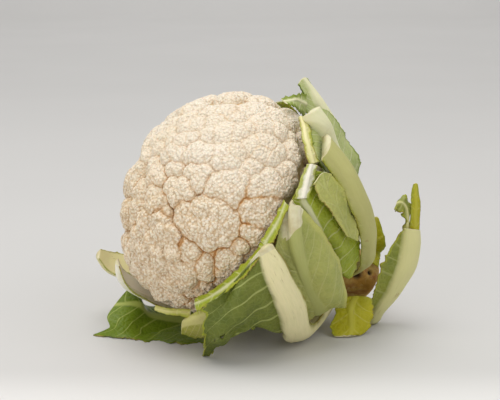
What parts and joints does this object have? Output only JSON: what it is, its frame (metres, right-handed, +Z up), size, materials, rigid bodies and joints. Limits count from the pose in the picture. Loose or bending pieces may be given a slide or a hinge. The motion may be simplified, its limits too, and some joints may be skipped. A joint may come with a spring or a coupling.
{
  "type": "cauliflower",
  "caption": "Whole cauliflower as picked, lying on its side leaves: a domed white curd of florets cupped by trimmed green leaves on a thick cut stem.",
  "frame": {"origin": "middle of the underside of the bounding box, on the surface that the head lies on", "axes": "+Z up, +X the long way from the crown side to the cut stem, -Y the side seen in the picture"},
  "size_m": [0.2433, 0.1856, 0.184],
  "materials": {
    "curd": "matt, fine grainy buds, cream to tan in the clefts",
    "stem": "matt, corky tan side and pale cut end",
    "leaf": "waxy green blade with a smooth pale rib",
    "dark_leaf": "darker green blade with pale veins",
    "yellow_leaf": "old leaf, yellow to olive, with dark specks"
  },
  "bodies": {
    "root": {"curd": "curd", "stem": "stem", "leaf_inner_front": "leaf", "leaf_inner_low": "leaf", "leaf_inner_under": "leaf", "leaf_inner_back": "leaf", "leaf_inner_top": "leaf", "leaf_middle_top": "leaf", "leaf_middle_front": "leaf", "leaf_middle_low": "leaf", "leaf_middle_under": "leaf", "leaf_middle_back": "leaf", "leaf_outer_top": "leaf", "leaf_outer_shoulder": "leaf", "leaf_outer_front": "leaf", "leaf_outer_low": "dark_leaf", "leaf_outer_back": "leaf", "leaf_outer_far": "leaf", "leaf_old_behind": "yellow_leaf", "leaf_old_right": "leaf", "leaf_old_under": "yellow_leaf"}
  },
  "joints": []
}
